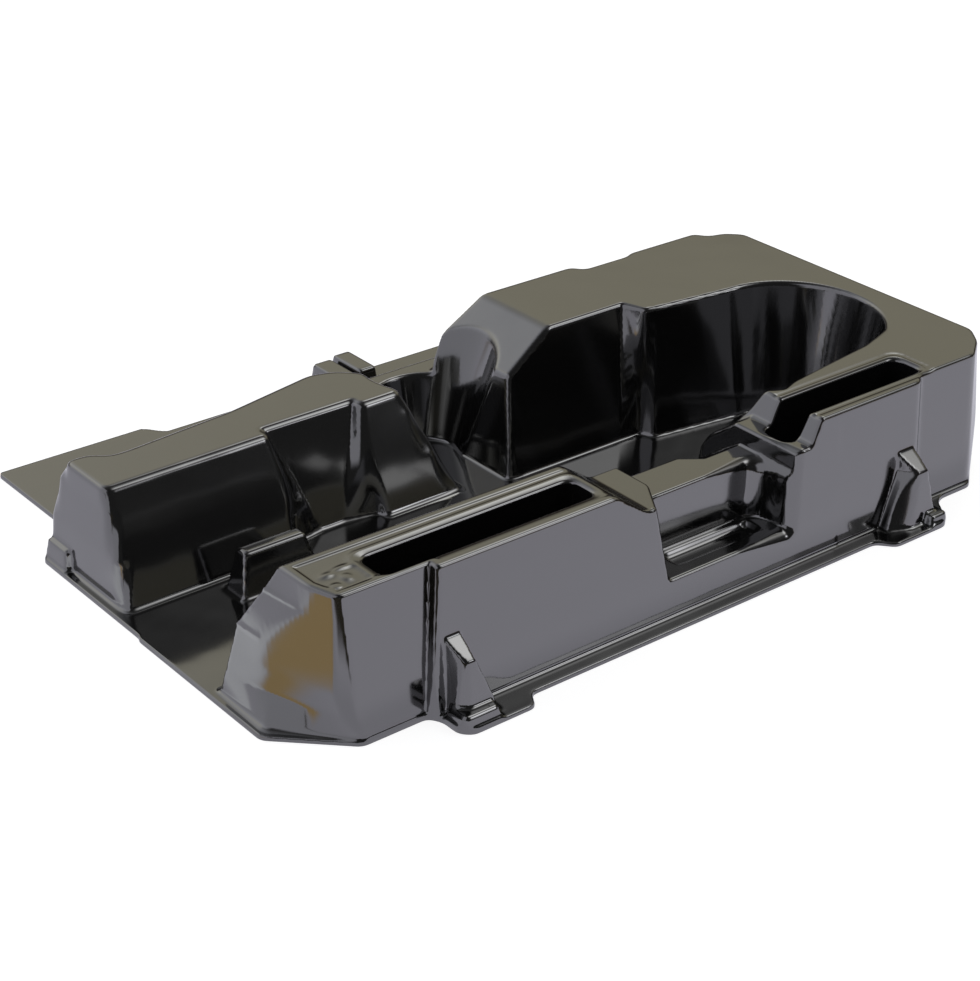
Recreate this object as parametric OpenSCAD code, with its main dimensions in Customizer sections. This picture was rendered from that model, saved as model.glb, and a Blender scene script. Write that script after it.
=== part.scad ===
// Formed plastic insert for a tool case, one sheet drawn over a mould.
// The origin is the middle of the base, on the surface it rests on.
// X runs along the length, Y to the back, Z up.
// Each raised form is a loft between outlines at named heights. The inner face of the
// sheet is the same loft, set in by the sheet's thickness, and hollows are cut the same way.

/* [Sheet and base] */
// Length of the base plate
tray_l = 368; // [360:1:400]
// Width of the base plate over its front lugs
tray_w = 276; // [272:1:300]
// Height of the front ridge and the block
form_h = 60.5; // [56:0.5:66]
// Thickness of the sheet
sheet = 1.8; // [1.2:0.1:2.4]
// Lean of the outer walls, sideways run for each unit of height
lean = 0.07; // [0.04:0.01:0.1]
// Lean of the rear ridge's front wall
channel_lean = 0.42; // [0.34:0.01:0.44]
// Width of the rounded top edges
edge = 1.2; // [0.6:0.1:1.6]

/* [Front ridge] */
// From the front edge of the lugs to the front wall at its top
wall_y = 18.2; // [17:0.1:20]
// Width of the top of the ridge
ridge_w = 34; // [32:0.5:38]
// Height at which the channel side starts to slope
shoulder_h = 31; // [26:0.5:36]
// From the left end of the base to the step in the front wall
step_x = 58.5; // [54:0.5:60]
// Depth of the step in the front wall
step_d = 4.4; // [2:0.2:5]

/* [Slots] */
// Width of the two long slots at their floor
slot_w = 11.5; // [9:0.5:13]
// Width of the flared rim round each slot
slot_rim = 1; // [0.5:0.25:2]
// Floor height of the slots
slot_z = 14; // [8:1:24]
// Length of the left slot
left_slot_l = 93; // [80:1:96]
// From the left end of the base to the left slot
left_slot_in = 43; // [42:0.5:46]
// Length of the right slot
right_slot_l = 74; // [60:1:76]
// From the right end of the base to the left end of the right slot
right_slot_in = 129; // [127:0.5:130]

/* [Finger recess] */
// Width of the recess in the front wall
recess_w = 62; // [50:1:66]
// From the middle of the base to the middle of the recess
recess_x = 18; // [14:1:22]
// Depth of the recess into the front wall
recess_d = 17; // [12:0.5:18]
// Height of its shelf
recess_z = 16; // [12:0.5:22]
// Height of the lowered ridge beside the recess
saddle_z = 50; // [46:0.5:54]
// Height of the sill behind the recess
sill_z = 42; // [36:0.5:44]
// How far the thin crest behind the saddle stands above it
crest_h = 1.6; // [0.8:0.2:3]
// Depth of the dish in the shelf
dish_d = 3; // [1:0.5:4]

/* [Rear ridge] */
// Width of the channel between the tops of the two ridges
channel_w = 108; // [102:1:112]
// Height of the rear ridge
rear_h = 46.5; // [40:0.5:52]
// Length of its top
rear_l = 141; // [130:1:146]
// Width of its top at the left end
rear_w = 30; // [26:0.5:34]
// Length of the notch in its front edge
notch_l = 44; // [34:1:50]
// Depth of that notch
notch_d = 9; // [5:0.5:11]

/* [Block] */
// Length of the top of the block
block_l = 143; // [138:1:150]
// From the front wall to the back edge of the block
block_w = 178; // [170:1:184]
// Radius of the round end of the pocket
pocket_r = 40; // [36:0.5:42]
// Radius of the round cup at the height of the saddle
cup_r = 30; // [26:0.5:31]
// Height of the low wall behind the cup
low_h = 30; // [24:0.5:34]

/* [Ribs and lugs] */
// Width of the front ribs
rib_w = 10; // [8:0.5:14]
// Height of the front ribs at the wall
rib_h = 33; // [26:0.5:38]
// How far a rib reaches out from the wall
rib_d = 11; // [8:0.5:12]
// Height of the small lugs on the rim
lug_h = 10; // [6:0.5:13]
// From the left end of the base to the middle of the back tab
tab_in = 191; // [186:1:196]
// Width of the back tab
tab_w = 30; // [28:1:34]
// Height of the boss on the channel floor
boss_h = 20; // [12:1:24]
// From the left end of the base to the middle of the boss
boss_in = 63; // [60:0.5:66]

/* [Hidden] */
left = -tray_l / 2;
right = tray_l / 2;
front = -tray_w / 2;
back = tray_w / 2;
wall = front + wall_y;
ridge_back = wall + ridge_w;
slot_y = wall + 15;
ridge_left = left + 16;
recess_l = recess_x - recess_w / 2;
recess_r = recess_x + recess_w / 2;
block_right = right - 5;
block_left = block_right - block_l;
block_back = wall + block_w;
end_h = 46;
pocket_x = block_right - 52;
pocket_y = wall + 77;
cup_x = block_left - 44;
cup_y = block_back - 18;
rear_left = left + 9;
rear_right = rear_left + rear_l;
rear_front = ridge_back + channel_w;
bay_back = pocket_y + 57;
bay_left = rear_right - 6;
left_rib_x = left + 64.5;
right_rib_x = right - 66.5;
crest_y = ridge_back - 1.4;
boss_y = rear_front - 31;
tab_x = left + tab_in;
eps = 0.01;

function unit(v) = v / norm(v);
function ahead(p, i) = unit(p[(i + 1) % len(p)] - p[i]);
function outward(p, i) = [ahead(p, i)[1], -ahead(p, i)[0]];
// Corner of an outline after the two edges that meet there move out by a and b
function corner(p, i, a, b) =
    let (
        m = outward(p, (i + len(p) - 1) % len(p)),
        n = outward(p, i),
        det = m[0] * n[1] - m[1] * n[0]
    )
    abs(det) < 0.02
        ? p[i] + n * (a + b) / 2
        : p[i] + [a * n[1] - b * m[1], b * m[0] - a * n[0]] / det;
// An outline with every edge moved out by the same distance
function grown(p, by) = [for (i = [0 : len(p) - 1]) corner(p, i, by, by)];
// An outline whose corners are eased by short curves that start r from each corner
function eased(p, r, n = 3) = [
    for (i = [0 : len(p) - 1])
        let (
            a = p[(i + len(p) - 1) % len(p)],
            b = p[i],
            c = p[(i + 1) % len(p)],
            ra = min(r, norm(a - b) * 0.45),
            rc = min(r, norm(c - b) * 0.45),
            s = b + unit(a - b) * ra,
            e = b + unit(c - b) * rc
        )
        for (k = [0 : n])
            let (t = k / n)
            s * (1 - t) * (1 - t) + b * 2 * t * (1 - t) + e * t * t
];
function arc(x, y, r, from, to, n) =
    [for (k = [0 : n]) let (a = from + (to - from) * k / n) [x + r * cos(a), y + r * sin(a)]];

// A closed solid through outlines that have the same number of points.
// Each level is [height, outline], from the lowest to the highest.
module loft(levels) {
    n = len(levels[0][1]);
    m = len(levels);
    points = [for (l = levels) for (q = l[1]) [q[0], q[1], l[0]]];
    sides = [
        for (k = [0 : m - 2])
            for (i = [0 : n - 1])
                let (a = k * n + i, b = k * n + (i + 1) % n)
                each [[a, a + n, b + n], [a, b + n, b]]
    ];
    bottom = [for (i = [0 : n - 1]) i];
    top = [for (i = [0 : n - 1]) m * n - 1 - i];
    polyhedron(points, concat([bottom], sides, [top]));
}

// A raised form: the loft with a bevelled top edge. With t above 0 it is the space
// inside the sheet.
module raised(levels, r, t = 0, bevel = edge) {
    m = len(levels);
    top = levels[m - 1];
    below = [for (k = [0 : m - 2]) [k == 0 ? levels[0][0] - t : levels[k][0], levels[k][1]]];
    rim = [top[0] - t - bevel, top[1]];
    crown = [top[0] - t, grown(top[1], -bevel)];
    loft([for (l = concat(below, [rim, crown])) [l[0], eased(grown(l[1], -t), r)]]);
}

// A hollow: the loft open at its top. With t above 0 it is the outside of the sheet
// round the hollow.
module sunk(levels, r, t = 0) {
    loft([
        for (k = [0 : len(levels) - 1])
            [k == 0 ? levels[0][0] - t : levels[k][0], eased(grown(levels[k][1], t), r)]
    ]);
}

module base_plate() {
    linear_extrude(sheet)
        polygon([
            [left, front + 43], [left + 26, front + 18], [left + 54, front + 18],
            [left + 57, front + 13], [left + 57, front + 4], [left + 61, front],
            [left + 89, front], [left + 93, front + 7], [right - 94, front + 7],
            [right - 88, front], [right - 59, front], [right - 54, front + 4],
            [right - 47, front + 14], [right - 42, front + 17], [right - 24, front + 17],
            [right, front + 37], [right, back - 21], [right - 12, back - 8.5],
            [tab_x + tab_w / 2 + 2, back - 8.5], [tab_x + tab_w / 2, back], [tab_x - tab_w / 2, back],
            [tab_x - tab_w / 2 - 2, back - 8.5], [left + 98, back - 8.5], [left + 92, back], [left + 21, back],
            [left + 21, back - 72], [left + 1, back - 76], [left + 1, -12], [left, -13]
        ]);
}

function ridge_end(x, y, corner_x, corner_y, face_x, face_y, out, end, inner) = [
    [x, y], [corner_x, corner_y], [face_x, face_y], [end, out], [end, inner]
];

module front_ridge(t) {
    end = recess_r + 26;
    difference() {
        raised([
            [0, ridge_end(left + 4, ridge_back + 24, left + 2, wall + 25.6,
                left + 33, wall - 4.4, wall - 4.4, end, ridge_back + 24)],
            [14, ridge_end(left + 6.5, ridge_back + 21.5, left + 6.4, wall + 32,
                left + 22.5, wall - 3.3, wall - 3.3, end, ridge_back + 21.5)],
            [shoulder_h, ridge_end(left + 9.5, ridge_back + 18.5, left + 10, wall + 37.4,
                left + 22.8, wall - 2, wall - 2, end, ridge_back + 18.5)],
            [form_h - 10.5, ridge_end(left + 13, ridge_back + 5.5, left + 15, wall + 21,
                left + 22.5, wall - 0.8, wall - 0.8, end, ridge_back + 5.5)],
            [form_h, ridge_end(ridge_left, ridge_back, ridge_left, wall + 16.8,
                left + 22.2, wall, wall, end, ridge_back - 2)]
        ], 0.8, t);
        // The wall stands back at its left end
        hull() {
            translate([left - 5, wall - 20, -5])
                cube([step_x - 0.2 + t, 20 + step_d - lean * form_h + t, eps]);
            translate([left - 5, wall - 20, form_h + 5])
                cube([step_x + 5.4 + t, 20 + step_d + t, eps]);
        }
    }
}

module block(t) {
    start = recess_r + 17;
    function plan(x, side, out) = [
        [start, wall - out], [right - 62, wall - out], [right - 58, wall + 4.3 - out],
        [right - 24, wall + 4.3 - out], [right - 12 + side, wall + 13 - out],
        [block_right + side, wall + 22], [block_right + side, block_back - 18],
        [block_right - 7, block_back - 11.5 + out], [block_right - 15, block_back - 9.5 + out],
        [block_right - 19, block_back - 3.5 + out], [block_right - 59, block_back - 3.5 + out],
        [block_right - 63, block_back - 5.5 + out], [block_right - 88, block_back - 5.5 + out],
        [block_right - 92, block_back + out], [x, block_back + out], [x, bay_back - 14], [start, pocket_y + 23]
    ];
    raised([
        [0, plan(2, lean * form_h, lean * form_h)],
        [end_h, plan(13, lean * 14, lean * 14)],
        [form_h, plan(block_left, 0, 0)]
    ], 3, t);
}

module rear_ridge(t) {
    function plan(out, right_out, front_out, back_out) = [
        [rear_left - out, rear_front - front_out], [rear_right + right_out, rear_front + 2 - front_out],
        [rear_right + 1 + right_out, rear_front + 18], [rear_right - 3 + right_out, rear_front + 28],
        [rear_right - 11 + right_out, rear_front + 35 + back_out],
        [rear_right - 21, rear_front + 38 + back_out],
        [rear_left + 75, rear_front + 29 + back_out], [rear_left + 25, rear_front + 24 + back_out],
        [rear_left + 17, rear_front + 24 + back_out], [rear_left + 10, rear_front + rear_w + back_out],
        [rear_left - out, rear_front + rear_w + back_out]
    ];
    notch_x = rear_left + 76;
    difference() {
        raised([
            [0, plan(4, channel_lean * rear_h, channel_lean * rear_h, 12)],
            [20, plan(2.5, channel_lean * (rear_h - 20), channel_lean * (rear_h - 20), 11)],
            [rear_h - 9, plan(0.6, channel_lean * 9, channel_lean * 9, 6)],
            [rear_h, plan(0, 0, 0, 0)]
        ], 3, t);
        hull() {
            translate([notch_x + 1, rear_front - 30 - t, -5])
                cube([notch_l - 2, 30 + notch_d - channel_lean * (rear_h + 5) + 2 * t, eps]);
            translate([notch_x - 2 - t, rear_front - 30 - t, rear_h + 5])
                cube([notch_l + 4 + 2 * t, 30 + notch_d + 2 * t, eps]);
        }
    }
}

module low_wall(t) {
    l = rear_right - 26;
    r = cup_x + 32;
    y = cup_y + cup_r + 1;
    function plan(out) = [[l, cup_y + 5], [r, cup_y + 5], [r, y + out], [l, y + out]];
    raised([[0, plan(lean * low_h)], [low_h, plan(0)]], 2, t);
}

module saddle(t) {
    low = recess_l - 15;
    high = recess_r + 10;
    function plan(by, b) = [[low - by, wall - 20], [high + by, wall - 20], [high + by, b], [low - by, b]];
    sunk([[saddle_z, plan(0, crest_y)], [saddle_z + crest_h + 1, plan(0.6, crest_y)]], 0.6, t);
    sunk([
        [saddle_z + crest_h, plan(0.4, ridge_back + 40)],
        [form_h + 5, [[low - 22, wall - 20], [high + 8, wall - 20], [high + 8, ridge_back + 40],
            [low - 22, ridge_back + 40]]]
    ], 1, t);
}

module sill(t) {
    l = recess_l + 0.6;
    r = recess_r;
    b = ridge_back + 1.3;
    function plan(by, out, inner) = [
        [l - by, wall - 20], [r + by, wall - 20], [r + by, inner], [r - 21, inner], [r - 26, out],
        [l - by, out]
    ];
    sunk([
        [sill_z, plan(0, b, b - 6.5)], [saddle_z, plan(0.6, b + 1.6, b + 1)],
        [saddle_z + 5, plan(1, b + 2.6, b + 5.7)]
    ], 1.5, t);
}

module recess(t) {
    b = wall + recess_d;
    function plan(l, foot, by, b) = [
        [l, wall - 20], [recess_r - 0.7 + by, wall - 20], [recess_r - 0.7 + by, wall - 1],
        [recess_r - 1.2 + by, wall + 7], [recess_r - 2.4 + by, wall + 11.4],
        [recess_r - 4.5 + by, b - 2], [recess_r - 7 + by, b], [foot, b], [l, wall - 1]
    ];
    sunk([
        [recess_z + dish_d / 2, plan(recess_l - 3.5, recess_l + 6, -1, b - 0.8)],
        [sill_z + 5, plan(recess_l - 10, recess_l + 2, 1.2, b + 0.6)]
    ], 1, t);
}

// The sunk middle of the recess's shelf
module dish(t) {
    function plan(by) = [
        [recess_l + 8 - by, wall + 5.5 - by], [recess_r - 9 + by, wall + 5.5 - by],
        [recess_r - 9 + by, wall + 14 + by], [recess_l + 8 - by, wall + 14 + by]
    ];
    sunk([[recess_z - dish_d / 2, plan(-1)], [recess_z + dish_d, plan(2)]], 2, t);
}

module slot(x, length, t) {
    half = slot_w / 2;
    function plan(by) = [
        [x - by, slot_y - half - by], [x + length + by, slot_y - half - by],
        [x + length + by, slot_y + half + by], [x - by, slot_y + half + by]
    ];
    sunk([
        [slot_z, plan(0)],
        [form_h - slot_rim, plan(0.04 * (form_h - slot_z))],
        [form_h, plan(0.04 * (form_h - slot_z) + slot_rim)],
        [form_h + 5, plan(0.04 * (form_h - slot_z) + slot_rim)]
    ], 6, t);
}

module pocket(t) {
    function plan(by) = concat(
        [[bay_left, bay_back + by], [block_left + 43, bay_back + by], [block_left + 46, bay_back - 12 + by]],
        arc(pocket_x, pocket_y, pocket_r + by, 92, -56, 14),
        [[pocket_x + 3, wall + 38 - by], [pocket_x - 27, wall + 34 - by],
            [pocket_x - 47, wall + 31 - by], [pocket_x - 55, wall + 28 - by],
            [pocket_x - 67, wall + 35 - by], [pocket_x - 87, wall + 62], [bay_left, wall + 62]]
    );
    sunk([
        [sheet, [for (i = [len(plan(0)) - 1 : -1 : 0]) plan(-0.1 * form_h)[i]]],
        [form_h + 5, [for (i = [len(plan(0)) - 1 : -1 : 0]) plan(0)[i]]]
    ], 2, t);
}

module cup(t) {
    slope = 0.32;
    h = 70;
    translate([cup_x, cup_y, sheet - t])
        cylinder(
            h = h,
            r1 = cup_r - slope * (saddle_z - sheet) + t,
            r2 = cup_r + slope * (h - saddle_z + sheet) + t,
            $fn = 64
        );
}

// A rib that props the front wall. It has a sloping cap, and its sides spread at the foot
// by l and r.
module rib(x, l, r, t) {
    w = rib_w / 2;
    hull() {
        translate([x - w - l + t, wall - 5 + t, -t]) cube([2 * w + l + r - 2 * t, 9, eps]);
        translate([x - w + t, wall - 1 + t, rib_h - t]) cube([2 * w - 2 * t, 7, eps]);
        translate([x - w + t, wall - rib_d + t, rib_h - 8 - t]) cube([2 * w - 2 * t, 4, eps]);
        translate([x - w - 0.3 * l + t, wall - rib_d - 2.5 + t, -t])
            cube([2 * w + 0.3 * l + r - 2 * t, 4, eps]);
    }
}

module lug(x, y, w, d, h, t) {
    hull() {
        translate([x - w / 2 + t, y - d / 2 + t, -t]) cube([w - 2 * t, d - 2 * t, eps]);
        translate([x - w / 2 + 1.5 + t, y - d / 2 + 1.5 + t, h - 1.5 - t]) cube([w - 3 - 2 * t, d - 3 - 2 * t, eps]);
        translate([x - w / 2 + 2.5 + t, y - d / 2 + 2.5 + t, h - t]) cube([w - 5 - 2 * t, d - 5 - 2 * t, eps]);
    }
}

// A steep boss with a narrow top on the channel floor
module boss(t) {
    x = left + boss_in;
    raised([
        [0, [[x - 18, boss_y - 7], [x + 20, boss_y - 7], [x + 20, boss_y + 7], [x - 18, boss_y + 7]]],
        [boss_h, [[x - 14, boss_y - 3], [x + 14, boss_y - 3], [x + 14, boss_y + 3.5],
            [x - 14, boss_y + 3.5]]]
    ], 1.5, t, 0.8);
}

module masses(t) {
    front_ridge(t);
    block(t);
    rear_ridge(t);
    low_wall(t);
    rib(left_rib_x, 0.5, 8, t);
    rib(right_rib_x, 11, 3, t);
    boss(t);
    lug(left + 6.5, rear_front + 32, 9, 18, lug_h, t);
    lug(tab_x + tab_w / 2 - 8, back - 13, 12, 25, lug_h, t);
    lug(tab_x - tab_w / 2 + 10, back - 14, 13, 23, lug_h - 0.5, t);
    lug(left_rib_x + 1.5, front + 7, 18, 13.6, lug_h - 3, t);
    lug(right_rib_x + 5, front + 7, 12, 13.6, lug_h - 4, t);
}

module hollows(t) {
    saddle(t);
    sill(t);
    recess(t);
    dish(t);
    pocket(t);
    cup(t);
    slot(left + left_slot_in, left_slot_l, t);
    slot(right - right_slot_in, right_slot_l, t);
}

module formed(t) {
    difference() {
        masses(t);
        hollows(t);
    }
}

module insert() {
    color([0.09, 0.09, 0.095])
        difference() {
            union() {
                base_plate();
                formed(0);
            }
            formed(sheet);
        }
}

insert();
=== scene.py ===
"""Tool case insert: one black gloss sheet, drawn over a mould and trimmed.

The sheet's two faces are level surfaces of one field. The field is worked out on a box of grid
lines from outlines at rising heights, as the solid is, and it is close to the true distance from
the sheet's upper face, below 0 inside. The sill, the saddle and the walls of the bay and pocket
differ a little from the solid's, to follow the photograph more closely. Lengths are in
millimetres until the meshes are made.
"""

import bpy
import numpy as np
from mathutils import Matrix


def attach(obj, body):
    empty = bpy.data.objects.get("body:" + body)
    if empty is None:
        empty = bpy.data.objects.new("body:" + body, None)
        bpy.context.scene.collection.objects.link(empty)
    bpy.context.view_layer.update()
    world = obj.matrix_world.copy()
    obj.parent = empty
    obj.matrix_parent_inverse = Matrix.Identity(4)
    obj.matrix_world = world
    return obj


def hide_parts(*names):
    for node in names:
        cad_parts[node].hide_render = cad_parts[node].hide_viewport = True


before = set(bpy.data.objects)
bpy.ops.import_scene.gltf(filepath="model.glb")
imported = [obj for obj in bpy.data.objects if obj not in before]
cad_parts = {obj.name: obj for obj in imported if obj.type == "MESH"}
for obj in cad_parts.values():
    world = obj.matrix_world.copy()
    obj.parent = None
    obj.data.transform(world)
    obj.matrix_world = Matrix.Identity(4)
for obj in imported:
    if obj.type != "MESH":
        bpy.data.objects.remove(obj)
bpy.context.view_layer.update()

# Sheet and base
TRAY_L, TRAY_W, FORM_H, SHEET = 368.0, 276.0, 60.5, 1.8
LEAN, CHANNEL_LEAN = 0.07, 0.42
LEFT, RIGHT, FRONT, BACK = -TRAY_L / 2, TRAY_L / 2, -TRAY_W / 2, TRAY_W / 2
WALL = FRONT + 18.2
RIDGE_BACK = WALL + 34
RIDGE_LEFT = LEFT + 16
SHOULDER_H, TIER_H = 31.0, 50.0
STEP_X, STEP_D = 58.5, 4.4
# Height and width of the front ridge's low beads, how deep its top is sunk inside a border, and
# the border's width
BEAD_H, BEAD_W, TOP_SUNK, BORDER = 0.35, 0.8, 0.5, 2.8
# Wrinkles on its top's left end: middle in x and y, reach in x and y, and height
WRINKLES = ((-160, -109, 2.6, 2.2, 0.7), (-153.5, -106, 2.4, 3.0, 0.6),
            (-158, -101, 3.0, 1.8, 0.5), (-151, -99.5, 4, 1.6, 0.55))
# Slots, with each one's left end and length
SLOT_Y, SLOT_W, SLOT_RIM, SLOT_Z = WALL + 15, 11.5, 1.0, 14.0
SLOTS = ((LEFT + 43, 93), (RIGHT - 129, 74))
# Finger recess, lowered saddle and sill
RECESS_L, RECESS_R, RECESS_BACK = -13.0, 49.0, WALL + 17
RECESS_Z, SADDLE_Z, SILL_Z = 16.0, 50.0, 42.0
DISH_D, FALL = 3.0, 0.72
# Rear ridge
REAR_H, REAR_L, REAR_W = 46.5, 141.0, 30.0
REAR_LEFT, REAR_FRONT = LEFT + 9, RIDGE_BACK + 108
REAR_RIGHT = REAR_LEFT + REAR_L
NOTCH_L, NOTCH_D = 44.0, 9.0
# Block, pocket, cup and low wall
BLOCK_RIGHT = RIGHT - 5
BLOCK_LEFT, BLOCK_BACK, BLOCK_SLOPE = BLOCK_RIGHT - 143, WALL + 178, 0.615
POCKET_R, POCKET_X, POCKET_Y = 40.0, BLOCK_RIGHT - 52, WALL + 77
BAY_LEFT, BAY_BACK = REAR_RIGHT - 6, POCKET_Y + 57
CUP_R, CUP_X, CUP_Y = 30.0, BLOCK_LEFT - 44, BLOCK_BACK - 18
LOW_H = 30.0
# Ribs, with each one's middle and its corners' distances from there at the foot and at the top
RIB_H, RIB_D = 33.0, 11.0
LEFT_RIB_X, RIGHT_RIB_X = LEFT + 64.5, RIGHT - 66.5
RIBS = ((LEFT_RIB_X, (-5.8, -1, 12.5, 13.5, -5.3), (-2, -1.2, 4.5, 3, -4.8)),
        (RIGHT_RIB_X, (-20.5, -9.5, 7.3, 7.5, -19), (-5, -4.2, 3.3, 2, -8.5)))
# Back tab, and the boss on the channel's floor
TAB_X, TAB_W = LEFT + 191, 30.0
BOSS_X, BOSS_Y, BOSS_H = LEFT + 63, REAR_FRONT - 31, 20.0
# Lugs: middle, size at the foot, the height over which the sides lean in, and the top's height
LUGS = ((LEFT + 6.5, REAR_FRONT + 32, 9, 18, 10.0, 10.0),
        (TAB_X + TAB_W / 2 - 8, BACK - 13, 12, 25, 10.0, 10.0),
        (TAB_X - TAB_W / 2 + 10, BACK - 14, 13, 23, 10.0, 9.5),
        (LEFT_RIB_X + 1.5, FRONT + 7, 18, 13.6, 7.0, 7.0),
        (RIGHT_RIB_X + 5, FRONT + 7, 12, 13.6, 6.0, 6.0))

# Grid spacing against the spans' own, how far distances are measured, and most faces in a piece
COARSE = 1.06
REACH = 26.0
PIECE_FACES = 96000
# The camera, solved from the insert's square edges: place, side angle, height angle and roll in
# degrees, and focal length and image width in pixels
CAMERA_PLACE = (-522.615, -635.822, 437.342)
CAMERA_SIDE, CAMERA_HEIGHT, CAMERA_ROLL = -39.140, 28.051, 0.8
FOCAL, IMAGE_W, SENSOR = 2196.61, 980, 36
# The floor's half width and its level just under the insert, in metres
FLOOR_HALF, FLOOR_Z = 6, -0.0002
# The light's soft boxes: direction, how tight each is, and colour
SOFT_BOXES = (((0.557, -0.38, 0.74), 45.0, (3.2, 3.2, 3.2, 1)),
              ((0.557, -0.72, 0.41), 220.0, (5.0, 5.0, 5.2, 1)),
              ((0.557, 0.42, 0.72), 110.0, (2.6, 2.6, 2.5, 1)),
              ((-0.16, 0.75, 0.64), 9.0, (0.85, 0.87, 0.95, 1)))


def grid_lines(*spans):
    """Grid lines over spans of (start, end, spacing), each span cut into equal steps."""
    steps = [max(2, round((b - a) / (s * COARSE)) + 1) for a, b, s in spans]
    lines = [np.linspace(a, b, n)[:-1] for (a, b, s), n in zip(spans, steps)]
    return np.append(np.concatenate(lines), spans[-1][1]).astype(np.float32)


XS = grid_lines((-186, -155, 0.6), (-155, -132, 0.9), (-132, -108, 0.5), (-108, -38, 0.85),
                (-38, 82, 0.55), (82, 186.4, 0.8))
YS = grid_lines((-140, -127, 0.8), (-127, -80, 0.5), (-80, 8, 0.95), (8, 76, 0.7), (76, 140, 1.2))
ZS = grid_lines((-0.9, 5.7, 0.6), (5.7, 13, 1.2), (13, 19, 0.6), (19, 28, 1.5), (28, 32, 0.7),
                (32, 39, 1.2), (39, 52, 0.6), (52, 57.5, 1.0), (57.5, 62, 0.5))


def eased(points, r, n=5):
    """An outline whose corners are parabolas that start at distance r from each corner, or at
    0.45 of a shorter edge: s(1-t)^2 + 2bt(1-t) + et^2."""
    b = np.asarray(points, float)
    a, c = np.roll(b, 1, 0) - b, np.roll(b, -1, 0) - b
    la, lc = np.linalg.norm(a, axis=1)[:, None], np.linalg.norm(c, axis=1)[:, None]
    s, e = b + a / la * np.minimum(r, la * 0.45), b + c / lc * np.minimum(r, lc * 0.45)
    t = np.linspace(0, 1, n + 1)[None, :, None]
    curve = s[:, None] * (1 - t) ** 2 + 2 * b[:, None] * t * (1 - t) + e[:, None] * t ** 2
    return curve.reshape(-1, 2)


def arc(x, y, r, start, end, n):
    """Points at even angles on a circle, in degrees."""
    a = np.radians(np.linspace(start, end, n + 1))
    return np.stack([x + r * np.cos(a), y + r * np.sin(a)], 1)


def outline_distance(points):
    """Signed distance from every grid point to a closed outline, below 0 inside and held at
    REACH far off. Each edge is measured only in a window round it, and the sign comes from how
    often a row of the grid has crossed the outline on its way from the left."""
    p = np.asarray(points, float)
    squared = np.full((len(YS), len(XS)), REACH ** 2, np.float32)
    turns = np.zeros((len(YS), len(XS) + 1), np.int16)
    for (ax, ay), (bx, by) in zip(p, np.roll(p, -1, 0)):
        dx, dy = bx - ax, by - ay
        if dx * dx + dy * dy < 1e-9:
            continue
        i = slice(*np.searchsorted(XS, (min(ax, bx) - REACH, max(ax, bx) + REACH)))
        j = slice(*np.searchsorted(YS, (min(ay, by) - REACH, max(ay, by) + REACH)))
        x, y = (XS[i] - ax)[None, :], (YS[j] - ay)[:, None]
        t = np.clip((x * dx + y * dy) / (dx * dx + dy * dy), 0, 1)
        near = (x - t * dx) ** 2 + (y - t * dy) ** 2
        squared[j, i] = np.minimum(squared[j, i], near)
        rows = np.nonzero((YS >= min(ay, by)) & (YS < max(ay, by)))[0]
        if len(rows):
            turns[rows, np.searchsorted(XS, ax + (YS[rows] - ay) / dy * dx)] += 1 if dy > 0 else -1
    inside = np.cumsum(turns, 1)[:, :-1] != 0
    return np.sqrt(squared) * np.where(inside, -1, 1).astype(np.float32)


class Walls:
    """The side walls of one form: outlines at rising heights, with straight sides between them.
    At a height between two outlines the distance is the mix of the two, over the slope's length."""

    def __init__(self, levels, ease):
        self.heights = [z for z, _ in levels]
        self.distances = [outline_distance(eased(p, ease)) for _, p in levels]

    def at(self, z):
        """The field at one height."""
        k = int(np.clip(np.searchsorted(self.heights, z) - 1, 0, len(self.heights) - 2))
        low, high = self.distances[k], self.distances[k + 1]
        run = (high - low) / (self.heights[k + 1] - self.heights[k])
        return (low + run * (z - self.heights[k])) / np.sqrt(1 + run * run)


class Facets:
    """The flat sides of one form with a bulging outline: the same corners at rising heights. Each
    side is the mix of its straight lines at two heights, and the sides meet in arcs."""

    def __init__(self, levels, r):
        self.r, self.heights, self.sides = r, [z for z, _ in levels], []
        x, y = XS[None, :], YS[:, None]
        for _, points in levels:
            p = np.asarray(points, float)
            ahead = np.roll(p, -1, 0) - p
            ahead /= np.linalg.norm(ahead, axis=1)[:, None]
            self.sides.append([(x - ax) * dy - (y - ay) * dx
                               for (ax, ay), (dx, dy) in zip(p, ahead)])

    def at(self, z):
        """The field at one height."""
        k = int(np.clip(np.searchsorted(self.heights, z) - 1, 0, len(self.heights) - 2))
        height = self.heights[k + 1] - self.heights[k]
        field = None
        for low, high in zip(self.sides[k], self.sides[k + 1]):
            run = (high - low) / height
            side = (low + run * (z - self.heights[k])) / np.sqrt(1 + run * run)
            field = side if field is None else round_max(field, side, self.r)
        return field


def round_max(a, b, r):
    """The larger of two fields, where the edge between their surfaces is an arc of radius r."""
    return np.minimum(np.maximum(a, b), -r) + np.hypot(np.maximum(a + r, 0), np.maximum(b + r, 0))


def round_min(a, b, r):
    """The smaller of two fields, where the corner between their surfaces is an arc of radius r."""
    return -round_max(-a, -b, r)


def box(x0, x1, y0, y1):
    """A rectangle's corners."""
    return [(x0, y0), (x1, y0), (x1, y1), (x0, y1)]


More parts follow.
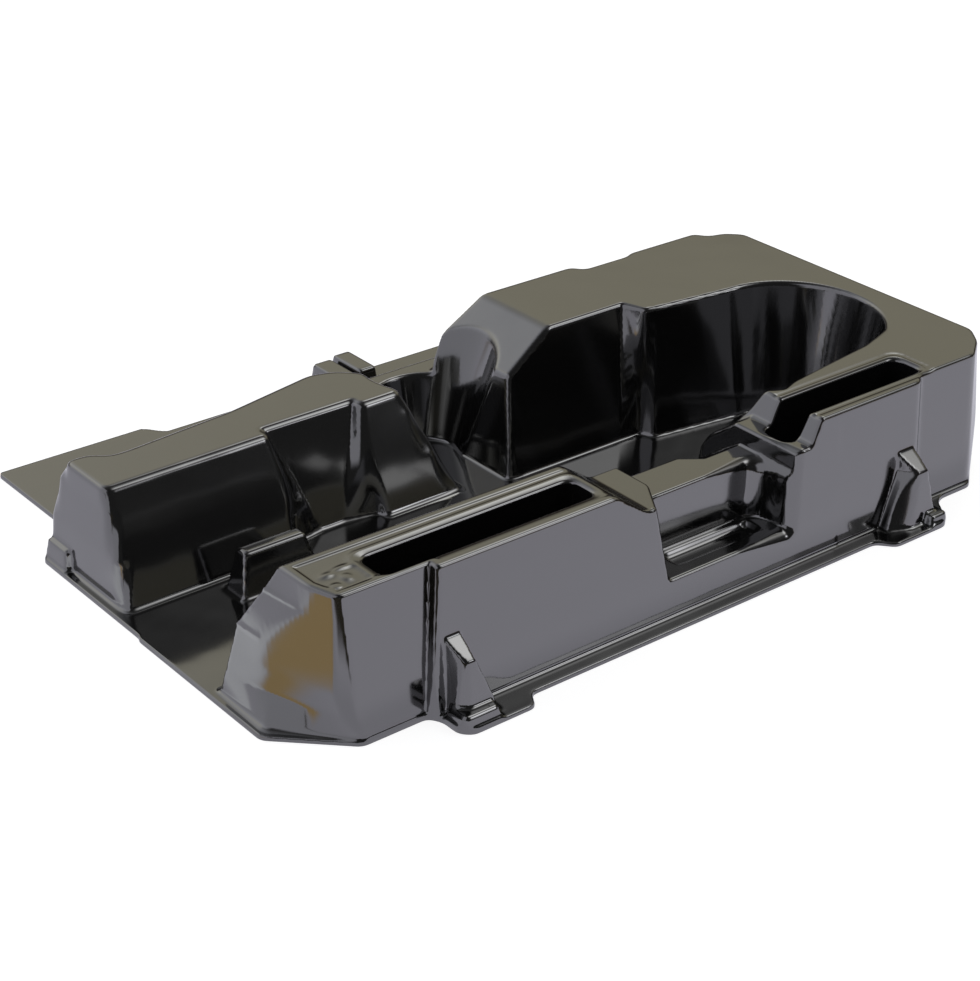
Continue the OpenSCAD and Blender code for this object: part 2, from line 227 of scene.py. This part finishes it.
def front_ridge_walls():
    """The front ridge's sides. The left end has a corner face at the front, and two tiers that
    lean back above the shoulder."""
    end = RECESS_R + 26

    def plan(x, y, corner_x, corner_y, face_x, out, inner):
        return [(x, y), (corner_x, corner_y), (face_x, out), (end, out), (end, inner)]

    return Facets([
        (0, plan(LEFT + 4, RIDGE_BACK + 24, LEFT + 2, WALL + 25.6, LEFT + 33, WALL - 4.4,
                 RIDGE_BACK + 24)),
        (12, plan(LEFT + 6.2, RIDGE_BACK + 21.8, LEFT + 8.4, WALL + 34.3, LEFT + 24.4, WALL - 3.4,
                  RIDGE_BACK + 21.8)),
        (21, plan(LEFT + 7.8, RIDGE_BACK + 20.3, LEFT + 9.7, WALL + 36.6, LEFT + 21.8, WALL - 2.8,
                  RIDGE_BACK + 20.3)),
        (SHOULDER_H, plan(LEFT + 9.5, RIDGE_BACK + 18.5, LEFT + 10, WALL + 37.4, LEFT + 21.6,
                          WALL - 2, RIDGE_BACK + 18.5)),
        (TIER_H, plan(LEFT + 13, RIDGE_BACK + 5.5, LEFT + 15, WALL + 21, LEFT + 21.3,
                      WALL - 0.8, RIDGE_BACK + 5.5)),
        (FORM_H, plan(RIDGE_LEFT, RIDGE_BACK, RIDGE_LEFT, WALL + 16.8, LEFT + 21, WALL,
                      RIDGE_BACK - 2)),
    ], 0.8)


def block_walls():
    """The block's outer sides. In front on the left the outline closes inside the ridge and the
    bay, where it doesn't show."""
    start = RECESS_R + 17

    def plan(x, out):
        return [
            (start, WALL - out), (RIGHT - 62, WALL - out), (RIGHT - 58, WALL + 4.3 - out),
            (RIGHT - 24, WALL + 4.3 - out), (RIGHT - 12 + out, WALL + 13 - out),
            (BLOCK_RIGHT + out, WALL + 22), (BLOCK_RIGHT + out, BLOCK_BACK - 18),
            (BLOCK_RIGHT - 7, BLOCK_BACK - 11.5 + out), (BLOCK_RIGHT - 15, BLOCK_BACK - 9.5 + out),
            (BLOCK_RIGHT - 19, BLOCK_BACK - 3.5 + out), (BLOCK_RIGHT - 59, BLOCK_BACK - 3.5 + out),
            (BLOCK_RIGHT - 63, BLOCK_BACK - 5.5 + out), (BLOCK_RIGHT - 88, BLOCK_BACK - 5.5 + out),
            (BLOCK_RIGHT - 92, BLOCK_BACK + out), (x, BLOCK_BACK + out), (x, BAY_BACK - 14),
            (start, POCKET_Y + 23),
        ]

    return Walls([(0, plan(4.5, LEAN * FORM_H)), (34, plan(9.4, LEAN * 26)),
                  (46, plan(11.5, LEAN * 14)), (FORM_H, plan(15, 0))], 3)


def rear_ridge_walls():
    """The rear ridge's sides: the channel's slope in front, and behind a wall that leans in ever
    more towards the top."""
    def plan(out, right_out, front_out, back_out):
        return [
            (REAR_LEFT - out, REAR_FRONT - front_out),
            (REAR_RIGHT + right_out, REAR_FRONT + 2 - front_out),
            (REAR_RIGHT + 1 + right_out, REAR_FRONT + 18),
            (REAR_RIGHT - 3 + right_out, REAR_FRONT + 28),
            (REAR_RIGHT - 11 + right_out, REAR_FRONT + 35 + back_out),
            (REAR_RIGHT - 21, REAR_FRONT + 38 + back_out),
            (REAR_LEFT + 75, REAR_FRONT + 29 + back_out),
            (REAR_LEFT + 25, REAR_FRONT + 24 + back_out),
            (REAR_LEFT + 17, REAR_FRONT + 24 + back_out),
            (REAR_LEFT + 10, REAR_FRONT + REAR_W + back_out),
            (REAR_LEFT - out, REAR_FRONT + REAR_W + back_out),
        ]

    def side(z):
        return CHANNEL_LEAN * (REAR_H - z)

    return Walls([(0, plan(4, side(0), side(0), 12)), (20, plan(2.5, side(20), side(20), 11)),
                  (REAR_H - 9, plan(0.6, side(REAR_H - 9), side(REAR_H - 9), 6)),
                  (REAR_H, plan(0, 0, 0, 0))], 4)


def notch_walls():
    """The notch in the rear ridge's front."""
    x = REAR_LEFT + 76
    back = REAR_FRONT + NOTCH_D
    return Walls([
        (-5, box(x + 1, x + NOTCH_L - 1, REAR_FRONT - 40, back - CHANNEL_LEAN * (REAR_H + 5))),
        (REAR_H + 5, box(x - 2, x + NOTCH_L + 2, REAR_FRONT - 40, back)),
    ], 3)


def low_walls():
    """The low wall behind the cup."""
    left, right, back = REAR_RIGHT - 26, CUP_X + 32, CUP_Y + CUP_R + 1
    return Walls([(0, box(left, right, CUP_Y + 5, back + LEAN * LOW_H)),
                  (LOW_H, box(left, right, CUP_Y + 5, back))], 2)


def saddle_walls():
    """The space over the lowered saddle, which widens upwards."""
    low, high = RECESS_L - 15, RECESS_R + 10
    return Walls([(SADDLE_Z, box(low, high, WALL - 20, RIDGE_BACK + 40)),
                  (FORM_H + 5, box(low - 22, high + 8, WALL - 20, RIDGE_BACK + 40))], 1)


def sill_walls():
    """The space over the sill, between the saddle's two pads."""
    left, right = RECESS_L + 0.6, RECESS_R

    def plan(by):
        return box(left - by, right + by, WALL - 20, RIDGE_BACK + 40)

    return Walls([(SILL_Z - 20, plan(-1)), (SILL_Z, plan(0)), (SADDLE_Z + 5, plan(1))], 1.5)


def over_floor(height, edge, y, z):
    """The field of the space over a floor that is level as far back as edge and falls behind it.
    The division keeps it near the true distance on both parts."""
    return (height - FALL * np.maximum(y - edge, 0) - z) / 1.05


def recess_walls():
    """The finger recess in the front wall, under the sill."""
    def plan(left, foot, by, back):
        return [(left, WALL - 20), (RECESS_R - 0.7 + by, WALL - 20),
                (RECESS_R - 0.7 + by, WALL - 1), (RECESS_R - 1.2 + by, WALL + 7),
                (RECESS_R - 2.4 + by, WALL + 11.4),
                (RECESS_R - 4.5 + by, back - 2), (RECESS_R - 7 + by, back), (foot, back),
                (left, WALL - 1)]

    return Walls([(RECESS_Z, plan(-16.5, -7, -1, RECESS_BACK - 0.8)),
                  (SILL_Z + 5, plan(-23, -11, 1.2, RECESS_BACK + 0.6))], 2)


def dish_walls():
    """The sunk middle of the recess's shelf."""
    def plan(by):
        return box(RECESS_L + 8 - by, RECESS_R - 9 + by, WALL + 5.5 - by, WALL + 14 + by)

    return Walls([(RECESS_Z - DISH_D / 2, plan(-1)), (RECESS_Z + DISH_D, plan(2))], 2)


def slot_walls(x, length):
    """A long slot that widens a little upwards, with a small bevel round its mouth."""
    half = SLOT_W / 2
    top = 0.04 * (FORM_H - SLOT_Z)

    def plan(by):
        return box(x - by, x + length + by, SLOT_Y - half - by, SLOT_Y + half + by)

    return Walls([(SLOT_Z, plan(0)), (FORM_H - SLOT_RIM, plan(top)),
                  (FORM_H, plan(top + SLOT_RIM)), (FORM_H + 5, plan(top + SLOT_RIM))], 5)


def pocket_walls():
    """The bay and the round pocket at its right end, as one hollow that narrows downwards."""
    def plan(by):
        return np.concatenate([
            [(BAY_LEFT, BAY_BACK + 2.5 * by), (BLOCK_LEFT + 43, BAY_BACK + 2.5 * by),
             (BLOCK_LEFT + 46, BAY_BACK - 12 + 1.6 * by)],
            arc(POCKET_X, POCKET_Y, POCKET_R + 1.8 * by, 92, -56, 24),
            [(POCKET_X + 3, WALL + 38 - by), (POCKET_X - 27, WALL + 34 - by),
             (POCKET_X - 47, WALL + 31 - by), (POCKET_X - 55, WALL + 28 - by),
             (POCKET_X - 67, WALL + 35 - by), (POCKET_X - 87, WALL + 62), (BAY_LEFT, WALL + 62)],
        ])[::-1]

    return Walls([(SHEET, plan(-0.1 * FORM_H)), (FORM_H + 5, plan(0))], 2)


def cup_walls():
    """A cone, as two circles."""
    def plan(z):
        return arc(CUP_X, CUP_Y, CUP_R + 0.32 * (z - SADDLE_Z), 0, 354, 59)

    return Walls([(0, plan(0)), (70, plan(70))], 0.3)


def rib_walls(x, foot, top):
    """A rib's flat sides. foot and top each hold distances in x from the rib's middle: the front
    left corner, the end of its slanted corner, the front right, then the wall's right and left."""
    def plan(marks, out, cut, inner):
        corner, slant, front_right, wall_right, wall_left = (x + m for m in marks)
        return [(corner, WALL - out + cut), (slant, WALL - out), (front_right, WALL - out),
                (wall_right, WALL - inner), (wall_right, WALL + 6), (wall_left, WALL + 6),
                (wall_left, WALL - inner)]

    return Facets([(0, plan(foot, RIB_D + 2.5, 4, 5)), (RIB_H - 8, plan(top, RIB_D, 0.9, 2)),
                   (RIB_H, plan(top, RIB_D, 0.9, 2))], 0.7)


def lug_walls(x, y, w, d, h):
    """A lug by its middle, its size at the foot and its height. Its sides lean in."""
    w, d = w / 2, d / 2
    return Walls([(0, box(x - w, x + w, y - d, y + d)),
                  (h, box(x - w + 1.5, x + w - 1.5, y - d + 1.5, y + d - 1.5))], 1.5)


def base_outline():
    """The sheet's trimmed edge, counter-clockwise from its left end."""
    return [
        (LEFT, FRONT + 43), (LEFT + 26, FRONT + 18), (LEFT + 54, FRONT + 18),
        (LEFT + 57, FRONT + 13), (LEFT + 57, FRONT + 4), (LEFT + 61, FRONT),
        (LEFT + 89, FRONT), (LEFT + 93, FRONT + 7), (RIGHT - 94, FRONT + 7),
        (RIGHT - 88, FRONT), (RIGHT - 59, FRONT), (RIGHT - 54, FRONT + 4),
        (RIGHT - 47, FRONT + 14), (RIGHT - 42, FRONT + 17), (RIGHT - 24, FRONT + 17),
        (RIGHT, FRONT + 37), (RIGHT, BACK - 21), (RIGHT - 12, BACK - 8.5),
        (TAB_X + TAB_W / 2 + 2, BACK - 8.5), (TAB_X + TAB_W / 2, BACK), (TAB_X - TAB_W / 2, BACK),
        (TAB_X - TAB_W / 2 - 2, BACK - 8.5), (LEFT + 98, BACK - 8.5), (LEFT + 92, BACK),
        (LEFT + 21, BACK), (LEFT + 21, BACK - 72), (LEFT + 1, BACK - 76), (LEFT + 1, -12),
        (LEFT, -13),
    ]


def step_cut(x, y, z):
    """Where the front ridge's wall stands back at its left end, below 0 inside the cut."""
    return np.maximum(x - (LEFT + STEP_X) + 0.08 * (FORM_H - z),
                      (y - WALL - STEP_D) + LEAN * (FORM_H - z))


def creases(x, y, z):
    """Low beads along the two creases that cross the ridge's left end: a bell curve of the
    height above or below each crease."""
    end = np.clip((LEFT + 20 - x) / 2, 0, 1)
    low = np.exp(-((z - SHOULDER_H - 0.2) / BEAD_W) ** 2) * np.clip((y - WALL - 37.4) / 2, 0, 1)
    high = np.exp(-((z - TIER_H - 0.2) / BEAD_W) ** 2) * np.clip((y - WALL - 21) / 2, 0, 1)
    return BEAD_H * end * (low + high)


def top_height(ridge, slots, x, y):
    """The height of the high forms' top: the ridge's top is sunk a little inside a border, the
    left slot has a low bead round it and the right slot a groove, and the wrinkles are bell
    curves. Nothing rises above the forms' full height."""
    edge = round_max(ridge.at(FORM_H), -step_cut(x, y, FORM_H), 1.8)
    on_ridge = np.clip((RECESS_R + 10 - x) / 4, 0, 1)
    top = FORM_H - TOP_SUNK * on_ridge * np.clip((-edge - BORDER) / 1.2, 0, 1)
    for slot in slots:
        top = top + BEAD_H * (2 * on_ridge - 1) * np.exp(-((slot.at(FORM_H) - 1.6) / 0.9) ** 2)
    for at_x, at_y, wide, deep, high in WRINKLES:
        top = top + high * np.exp(-((x - at_x) / wide) ** 2 - ((y - at_y) / deep) ** 2)
    return np.minimum(top, FORM_H)


def sheet_field():
    """The field of the sheet's upper face at every grid point, one height at a time: raised
    forms less the hollows, joined to the flat base with a small fillet. The last number in each
    round_max and round_min is that edge's radius."""
    ridge, block, rear, low = front_ridge_walls(), block_walls(), rear_ridge_walls(), low_walls()
    notch, saddle, sill, recess = notch_walls(), saddle_walls(), sill_walls(), recess_walls()
    dish, pocket, cup = dish_walls(), pocket_walls(), cup_walls()
    slots = [slot_walls(*slot) for slot in SLOTS]
    ribs = [rib_walls(*rib) for rib in RIBS]
    lugs = [(lug_walls(*lug[:-1]), lug[-1]) for lug in LUGS]
    boss = Facets([(0, box(BOSS_X - 18, BOSS_X + 20, BOSS_Y - 7, BOSS_Y + 7)),
                   (BOSS_H, box(BOSS_X - 14, BOSS_X + 14, BOSS_Y - 3, BOSS_Y + 3.5))], 1)
    x, y = XS[None, :], YS[:, None]
    # The sill's back edge stands further forward over its right part, and the recess's edges
    # grow rounder towards the right.
    sill_edge = RIDGE_BACK + 1.3 - 6.5 * np.clip((x - RECESS_R + 28) / 9, 0, 1)
    recess_round = 1.2 + 4.3 * np.clip((x - 20) / 26, 0, 1)
    field = np.empty((len(ZS), len(YS), len(XS)), np.float32)
    top = top_height(ridge, slots, x, y)
    for k, z in enumerate(ZS):
        front = round_max(ridge.at(z), -step_cut(x, y, z), 1.8) - creases(x, y, z)
        slope = (z - FORM_H + BLOCK_SLOPE * (BLOCK_LEFT - x)) / np.hypot(1, BLOCK_SLOPE)
        tall = round_max(np.minimum(front, round_max(block.at(z), slope, 1.4)), z - top, 1.4)
        back = round_max(round_max(rear.at(z), -notch.at(z), 2.5), z - REAR_H, 2)
        solid = round_min(tall, back, 2)
        solid = round_min(solid, round_max(low.at(z), z - LOW_H, 1.2), 2)
        # A rib's top slopes down to the front, and 1.28 is that slope's length for a run of 1.
        for rib in ribs:
            cap = (z - RIB_H + 8 / (RIB_D - 1) * (WALL - 1 - y)) / 1.28
            solid = round_min(solid, round_max(rib.at(z), cap, 0.6), 0.8)
        solid = round_min(solid, round_max(boss.at(z), z - BOSS_H, 1), 1)
        over_saddle = over_floor(SADDLE_Z, RIDGE_BACK - 1.2, y, z)
        over_sill = over_floor(SILL_Z, sill_edge, y, z)
        solid = round_max(solid, -round_max(saddle.at(z), over_saddle, 1.5), 1.2)
        solid = round_max(solid, -round_max(sill.at(z), over_sill, 1.2), 1.2)
        shelf = round_max(recess.at(z), RECESS_Z + DISH_D / 2 - z, 1)
        solid = round_max(solid, -shelf, recess_round)
        if z < RECESS_Z + DISH_D:
            solid = round_max(solid, -round_max(dish.at(z), RECESS_Z - DISH_D / 2 - z, 1.2), 0.7)
        solid = round_max(solid, -pocket.at(z), 1.6)
        solid = round_max(solid, -cup.at(z), 1.4)
        for slot in slots:
            solid = round_max(solid, -round_max(slot.at(z), SLOT_Z - z, 3), 1)
        for lug, height in lugs:
            solid = round_min(solid, round_max(lug.at(z), z - height, 1), 1.5)
        field[k] = round_min(solid, np.full_like(solid, z - SHEET), 1.8)
    return field


def wrapped(field, xs, ys, zs):
    """Points and four-sided faces where a field passes through 0. Each cell of the grid that the
    surface crosses has one point, the mean of the crossings on the cell's twelve edges, and each
    grid edge that it crosses has one face, through the four cells round that edge. The faces
    look towards the side where the field is above 0."""
    inside = field < 0
    nz, ny, nx = field.shape
    corners = [(c, b, a) for c in (0, 1) for b in (0, 1) for a in (0, 1)]
    count = sum(inside[c:nz - 1 + c, b:ny - 1 + b, a:nx - 1 + a].astype(np.uint8)
                for c, b, a in corners)
    k, j, i = np.nonzero((count > 0) & (count < 8))
    index = np.full(count.shape, -1, np.int32)
    index[k, j, i] = np.arange(len(k))
    total, number = np.zeros((len(k), 3)), np.zeros(len(k))
    lines = (xs, ys, zs)
    for axis in range(3):
        for first in (0, 1):
            for second in (0, 1):
                shift = [first, second]
                shift.insert(axis, 0)
                near = (i + shift[0], j + shift[1], k + shift[2])
                far = tuple(n + (1 if a == axis else 0) for a, n in enumerate(near))
                f0, f1 = field[near[::-1]], field[far[::-1]]
                crossed = (f0 < 0) != (f1 < 0)
                t = np.where(crossed, f0 / np.where(crossed, f0 - f1, 1), 0)
                for a in range(3):
                    start, end = lines[a][near[a]], lines[a][far[a]]
                    total[:, a] += np.where(crossed, start + t * (end - start), 0)
                number += crossed
    faces = []
    for axis in range(3):
        dim = 2 - axis
        low = np.take(inside, np.arange(inside.shape[dim] - 1), dim)
        high = np.take(inside, np.arange(1, inside.shape[dim]), dim)
        at = np.nonzero(low != high)[::-1]
        others = ((1, 2), (2, 0), (0, 1))[axis]
        keep = np.ones(len(at[0]), bool)
        for a in others:
            keep &= (at[a] > 0) & (at[a] < (nx, ny, nz)[a] - 1)
        at = [v[keep] for v in at]
        outward = low[at[2], at[1], at[0]]
        ring = []
        for da, db in ((-1, -1), (0, -1), (0, 0), (-1, 0)):
            cell = list(at)
            cell[others[0]] = cell[others[0]] + da
            cell[others[1]] = cell[others[1]] + db
            ring.append(index[cell[2], cell[1], cell[0]])
        ring = np.stack(ring, 1)
        faces.append(np.where(outward[:, None], ring, ring[:, ::-1]))
    return total / number[:, None], np.concatenate(faces)


def point_normals(points, faces):
    """At each point the mean of its faces' normals, each as long as twice the face's area."""
    p = points[faces]
    n = np.cross(p[:, 2] - p[:, 0], p[:, 3] - p[:, 1])
    total = np.zeros_like(points)
    for a in range(3):
        for c in range(4):
            total[:, a] += np.bincount(faces[:, c], n[:, a], len(points))
    return total / np.maximum(np.linalg.norm(total, axis=1)[:, None], 1e-9)


def add_piece(name, points, faces, normals, material):
    """One mesh in metres, smooth, with its own normals, that moves with the insert."""
    used, faces = np.unique(faces, return_inverse=True)
    faces = faces.reshape(-1, 4)
    mesh = bpy.data.meshes.new(name)
    mesh.vertices.add(len(used))
    mesh.vertices.foreach_set("co", (points[used] * 0.001).astype(np.float32).ravel())
    mesh.loops.add(faces.size)
    mesh.loops.foreach_set("vertex_index", faces.astype(np.int32).ravel())
    mesh.polygons.add(len(faces))
    mesh.polygons.foreach_set("loop_start", np.arange(0, faces.size, 4, dtype=np.int32))
    mesh.polygons.foreach_set("use_smooth", np.ones(len(faces), bool))
    mesh.update(calc_edges=True)
    mesh.validate()
    mesh.normals_split_custom_set_from_vertices(normals[used])
    piece = bpy.data.objects.new(name, mesh)
    bpy.context.scene.collection.objects.link(piece)
    mesh.materials.append(material)
    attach(piece, "root")
    return piece


def add_face(name, points, faces, material):
    """One face of the sheet, cut along x into pieces that are each small enough."""
    points[:, 2] = np.maximum(points[:, 2], 0)
    normals = point_normals(points, faces)
    order = np.argsort(points[faces[:, 0], 0], kind="stable")
    parts = np.array_split(order, int(np.ceil(len(faces) / PIECE_FACES)))
    print(name, len(points), "points", 2 * len(faces), "triangles", len(parts), "pieces")
    return [add_piece(f"{name}_{n + 1}", points, faces[part], normals, material)
            for n, part in enumerate(parts)]


def add_sheet(material):
    """The upper face with the rim's edge, and the under face one thickness inside it, which is
    worked out on every second grid line."""
    upper = sheet_field()
    plate = outline_distance(eased(base_outline(), 2.5))
    outer = np.stack([round_max(level, plate, 0.5) for level in upper])
    points, faces = wrapped(outer, XS, YS, ZS)
    pieces = add_face("upper_face", points, faces, material)
    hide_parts("insert")
    inner = np.stack([np.maximum(level + SHEET, plate) for level in upper[1::2]])[:, ::2, ::2]
    points, faces = wrapped(inner, XS[::2], YS[::2], ZS[1::2])
    add_face("under_face", points, faces[:, ::-1], material)


class Socket:
    """A node's output that can be used in sums, as a number or another Socket can."""

    def __init__(self, tree, output):
        self.tree, self.output = tree, output

    def maths(self, operation, a, b):
        node = self.tree.nodes.new("ShaderNodeMath")
        node.operation = operation
        connect(self.tree, node.inputs[0], a)
        connect(self.tree, node.inputs[1], b)
        return Socket(self.tree, node.outputs[0])

    def __rsub__(self, other):
        return self.maths("SUBTRACT", other, self)

    def __mul__(self, other):
        return self.maths("MULTIPLY", self, other)

    def __pow__(self, other):
        return self.maths("POWER", self, other)

    def larger(self, other):
        return self.maths("MAXIMUM", self, other)

    def smooth(self, low, high):
        """0 below low, 1 above high, and a smooth step between."""
        node = self.tree.nodes.new("ShaderNodeMapRange")
        node.interpolation_type = "SMOOTHSTEP"
        for socket, value in zip(node.inputs, (self, low, high, 0.0, 1.0)):
            connect(self.tree, socket, value)
        return Socket(self.tree, node.outputs[0])


def connect(tree, socket, value):
    if isinstance(value, Socket):
        tree.links.new(value.output, socket)
    else:
        socket.default_value = value


class Finish:
    """A material's or the world's nodes, and the one way to add a node to them."""

    def __init__(self, owner):
        owner.use_nodes = True
        self.tree = owner.node_tree
        self.tree.nodes.clear()

    def node(self, kind, output=0, settings=None, **inputs):
        """A node by its type, with its settings first and then its sockets: A_B sets the socket
        named A B, and at0, at1 and so on set a socket by its number."""
        node = self.tree.nodes.new(kind)
        for key, value in (settings or {}).items():
            setattr(node, key, value)
        for key, value in inputs.items():
            place = int(key[2:]) if key[:2] == "at" and key[2:].isdigit() else key.replace("_", " ")
            connect(self.tree, node.inputs[place], value)
        return Socket(self.tree, node.outputs[output]) if node.outputs else node

    def blend(self, share, a, b):
        """Colour a where share is 0 and colour b where it is 1."""
        node = self.tree.nodes.new("ShaderNodeMix")
        node.data_type = "RGBA"
        for place, value in ((0, share), (6, a), (7, b)):
            connect(self.tree, node.inputs[place], value)
        return Socket(self.tree, node.outputs[2])


def black_gloss():
    """Black gloss plastic with a slightly uneven, drawn surface."""
    material = bpy.data.materials.new("black_sheet")
    f = Finish(material)
    place = f.node("ShaderNodeTexCoord", "Object")
    waves = f.node("ShaderNodeTexNoise", "Fac", Vector=place, Scale=22.0, Detail=2.0)
    bump = f.node("ShaderNodeBump", "Normal", Height=waves, Strength=0.1, Distance=0.004)
    surface = f.node("ShaderNodeBsdfPrincipled", "BSDF", Base_Color=(0.005, 0.005, 0.005, 1),
                     Roughness=0.1, IOR=2.25, Normal=bump)
    f.node("ShaderNodeOutputMaterial", Surface=surface)
    return material


def add_floor():
    """A plain pale floor. The camera sees it nearly white, with the insert's shadow. Reflections
    see
    a painted glow: pale, a little brighter in front, with a painted highlight patch, a painted warm
    reflection and a painted shade patch beyond the left end, and fading to a dim brown far off."""
    mesh = bpy.data.meshes.new("floor")
    corners = box(-FLOOR_HALF, FLOOR_HALF, -FLOOR_HALF, FLOOR_HALF)
    mesh.from_pydata([(x, y, FLOOR_Z) for x, y in corners], [], [(0, 1, 2, 3)])
    floor = bpy.data.objects.new("floor", mesh)
    bpy.context.scene.collection.objects.link(floor)
    material = bpy.data.materials.new("pale_floor")
    mesh.materials.append(material)
    f = Finish(material)
    place = f.node("ShaderNodeTexCoord", "Object")
    away = f.node("ShaderNodeVectorMath", "Value", {"operation": "LENGTH"}, at0=place)
    right = f.node("ShaderNodeSeparateXYZ", "X", at0=place)
    back = f.node("ShaderNodeSeparateXYZ", "Y", at0=place)
    left, front = 0.0 - right, 0.0 - back
    # What reflections see of the floor is painted reflection: brighter in front, a dim brown far
    # off, and beyond the left end a painted highlight patch, a painted warm reflection and a
    # painted shade patch.
    far = away.smooth(0.42, 1.1) * right.smooth(-0.6, -0.3)
    painted_highlight_patch = left.smooth(0.185, 0.2) * right.smooth(-0.26, -0.23)
    painted_highlight_patch = painted_highlight_patch * back.smooth(-0.07, -0.05) * (0.05 - back).smooth(0.0, 0.03)
    warm = left.smooth(0.188, 0.215) * right.smooth(-0.36, -0.3)
    warm = warm * front.smooth(0.055, 0.07) * back.smooth(-0.12, -0.105)
    painted_shade_patch = left.smooth(0.175, 0.195) * front.smooth(0.145, 0.165)
    # The painted reflection colour, pale and a little blue, with the painted patches blended in.
    colour = (0.84, 0.83, 0.93, 1)
    for share, area in ((front.smooth(0.13, 0.15), (0.98, 0.965, 1.08, 1)),
                        (far, (0.3, 0.22, 0.13, 1)), (painted_highlight_patch, (1.35, 1.37, 1.45, 1)),
                        (warm, (0.95, 0.68, 0.33, 1)), (painted_shade_patch, (0.08, 0.07, 0.05, 1))):
        colour = f.blend(share, colour, area)
    # This glow is painted reflection. It is shown to glossy rays only, and the floor is no lamp.
    mirrored = f.node("ShaderNodeEmission", "Emission", Color=colour, Strength=1.0)
    white = f.node("ShaderNodeEmission", "Emission", Color=(1, 1, 1, 1), Strength=0.88)
    shadowed = f.node("ShaderNodeBsdfDiffuse", "BSDF", Color=(0.4, 0.4, 0.4, 1))
    seen = f.node("ShaderNodeAddShader", 0, at0=white, at1=shadowed)
    lit = f.node("ShaderNodeBsdfDiffuse", "BSDF", Color=(0.9, 0.9, 0.92, 1))
    camera_ray = f.node("ShaderNodeLightPath", "Is Camera Ray")
    glossy_ray = f.node("ShaderNodeLightPath", "Is Glossy Ray")
    look = f.node("ShaderNodeMixShader", 0, at0=camera_ray, at1=lit, at2=seen)
    look = f.node("ShaderNodeMixShader", 0, at0=glossy_ray, at1=look, at2=mirrored)
    f.node("ShaderNodeOutputMaterial", Surface=look)


def add_light():
    """A dim warm room, darker towards the front and above and lighter on the left, with four soft
    boxes, two in front and two behind. A soft box is the cosine between a direction and its own,
    raised to a power."""
    world = bpy.data.worlds.new("studio")
    bpy.context.scene.world = world
    f = Finish(world)
    way = f.node("ShaderNodeTexCoord", "Generated")
    right = f.node("ShaderNodeSeparateXYZ", "X", at0=way)
    back = f.node("ShaderNodeSeparateXYZ", "Y", at0=way)
    up = f.node("ShaderNodeSeparateXYZ", "Z", at0=way)
    light = f.blend(up.smooth(0.12, 0.42), (0.05, 0.04, 0.03, 1), (0.66, 0.62, 0.47, 1))
    light = f.blend(up.smooth(0.5, 0.8), light, (0.1, 0.1, 0.1, 1))
    light = f.blend(back.smooth(-0.5, 0.1), (0.05, 0.05, 0.05, 1), light)
    on_left = (0.0 - right).smooth(0.35, 0.6) * back.smooth(-0.65, -0.45)
    light = f.blend(on_left, light, (0.8, 0.8, 0.88, 1))
    for direction, tight, colour in SOFT_BOXES:
        unit = tuple(float(v) for v in np.array(direction) / np.linalg.norm(direction))
        near = f.node("ShaderNodeVectorMath", "Value", {"operation": "DOT_PRODUCT"}, at0=way,
                      at1=unit)
        soft_box = f.blend(near.larger(0.0) ** tight, (0, 0, 0, 1), colour)
        light = f.node("ShaderNodeVectorMath", 0, {"operation": "ADD"}, at0=light, at1=soft_box)
    shown = f.node("ShaderNodeBackground", "Background", Color=light, Strength=1.0)
    f.node("ShaderNodeOutputWorld", Surface=shown)


def add_camera():
    """The photograph's view."""
    side, height, roll = np.radians((CAMERA_SIDE, CAMERA_HEIGHT, CAMERA_ROLL))
    ahead = -np.array([np.sin(side) * np.cos(height), -np.cos(side) * np.cos(height),
                       np.sin(height)])
    across = np.cross(ahead, (0, 0, 1))
    across /= np.linalg.norm(across)
    up = np.cross(across, ahead)
    right = np.cos(roll) * across + np.sin(roll) * up
    top = -np.sin(roll) * across + np.cos(roll) * up
    camera = bpy.data.objects.new("camera", bpy.data.cameras.new("camera"))
    bpy.context.scene.collection.objects.link(camera)
    turn = np.eye(4)
    turn[:3, 0], turn[:3, 1], turn[:3, 2] = right, top, -ahead
    turn[:3, 3] = np.array(CAMERA_PLACE) * 0.001
    camera.matrix_world = Matrix(turn.tolist())
    camera.data.sensor_fit = "HORIZONTAL"
    camera.data.sensor_width = SENSOR
    camera.data.lens = SENSOR * FOCAL / IMAGE_W
    camera.data.clip_start = 0.05
    camera.data.clip_end = 50
    bpy.context.scene.camera = camera


bpy.context.scene.view_settings.view_transform = "Standard"
add_camera()
add_light()
add_floor()
add_sheet(black_gloss())
